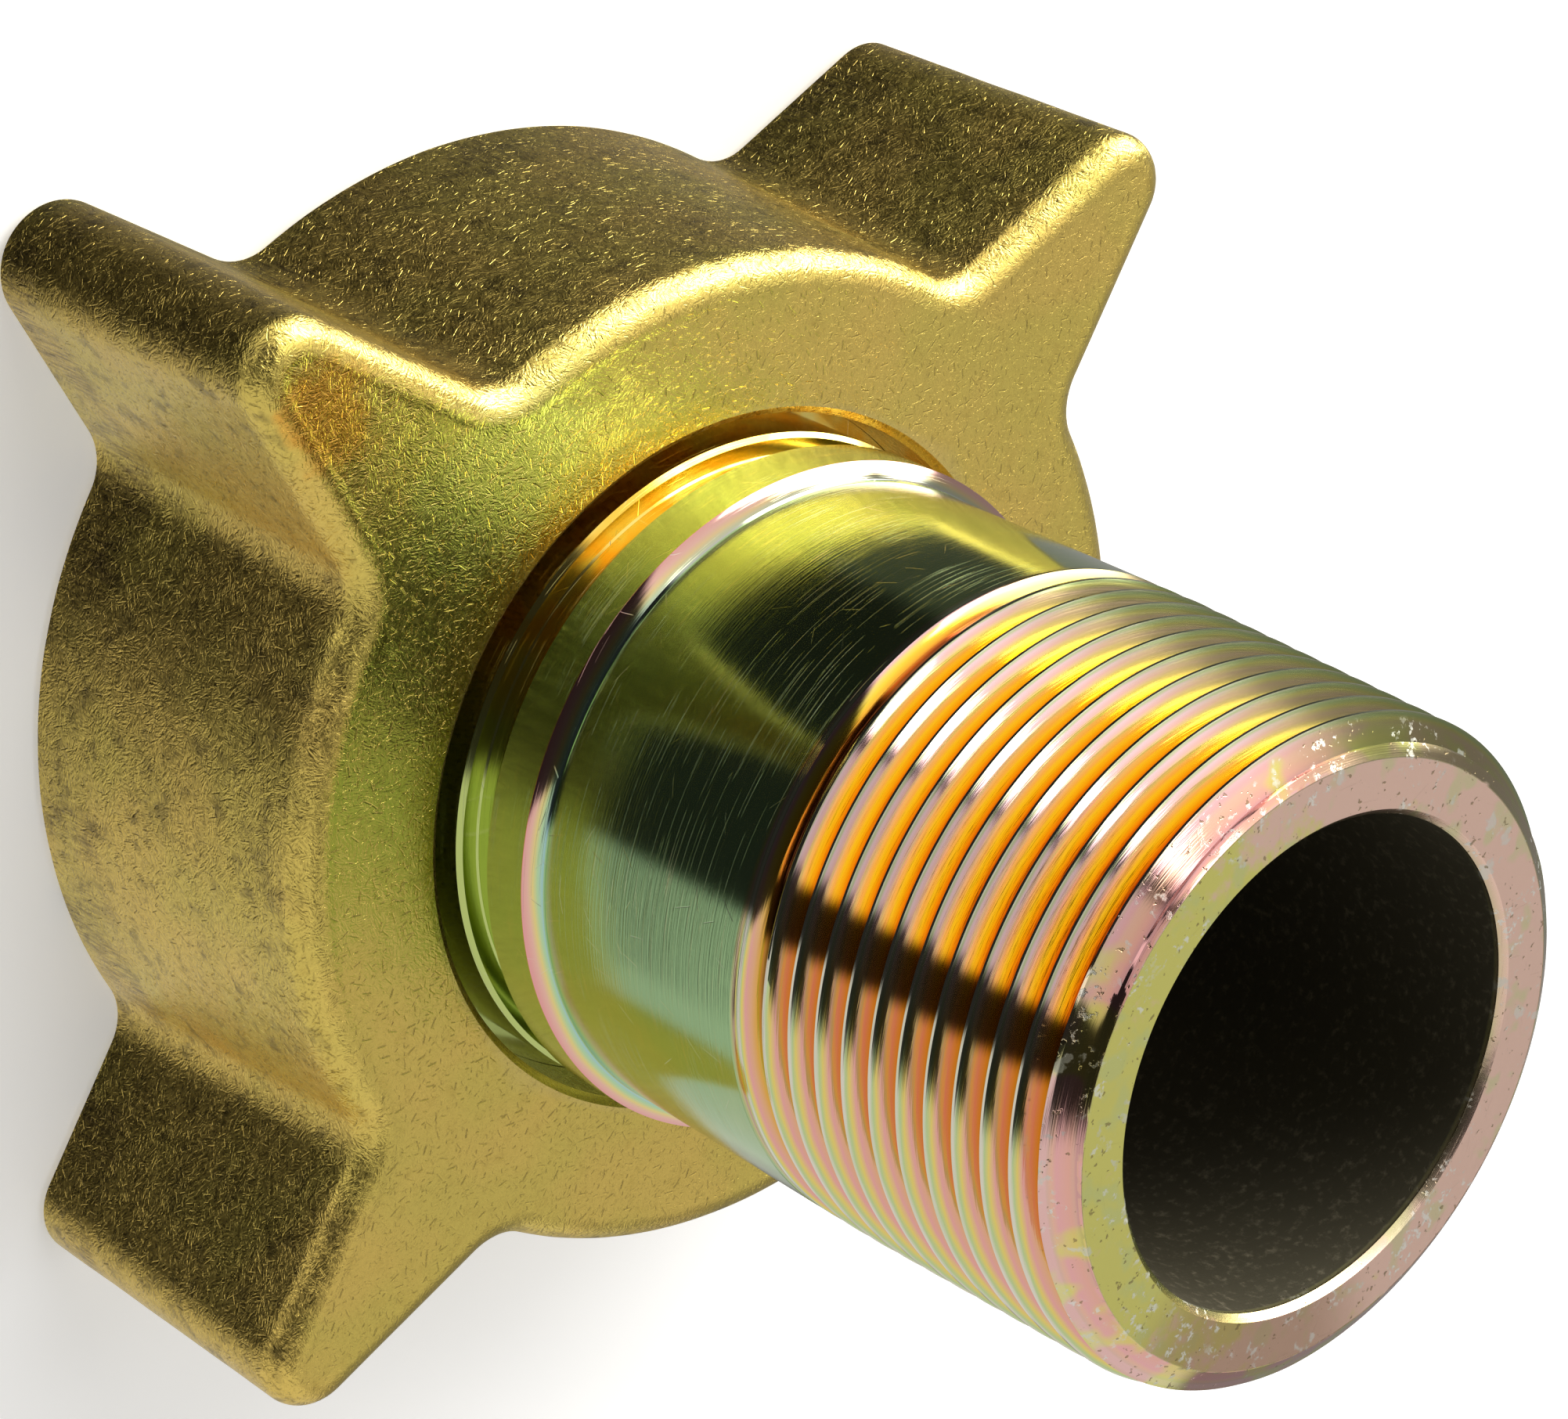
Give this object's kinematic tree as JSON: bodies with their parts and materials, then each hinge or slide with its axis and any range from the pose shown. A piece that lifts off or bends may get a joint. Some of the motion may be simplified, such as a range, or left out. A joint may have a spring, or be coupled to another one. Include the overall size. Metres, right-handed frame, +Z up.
{
  "type": "lp gas filler coupling",
  "caption": "Winged brass swivel nut with a coarse female thread, loose on a plated steel nipple that ends in a male taper pipe thread.",
  "frame": {"origin": "on the swivel axis, at the nut's flat mouth face, on which the coupling stands", "axes": "+Z up along the swivel axis, from the nut's threaded mouth to the nipple's pipe thread; the wings point along +X, +Y, -X and -Y"},
  "size_m": [0.0996, 0.0996, 0.0784],
  "materials": {
    "forged_brass": "bright forged brass with a fine tumbled texture",
    "plated_steel": "turned steel with a glossy yellow iridescent plating",
    "seal_rubber": "matt black rubber"
  },
  "bodies": {
    "nut_body": {"coupling_nut": "forged_brass"},
    "nipple_body": {"nipple": "plated_steel", "gasket": "seal_rubber"}
  },
  "joints": [
    {"name": "swivel", "type": "hinge", "parent": "nut_body", "child": "nipple_body", "pos_m": [0, 0, 0.0215], "axis": [0, 0, 1], "continuous": true}
  ]
}
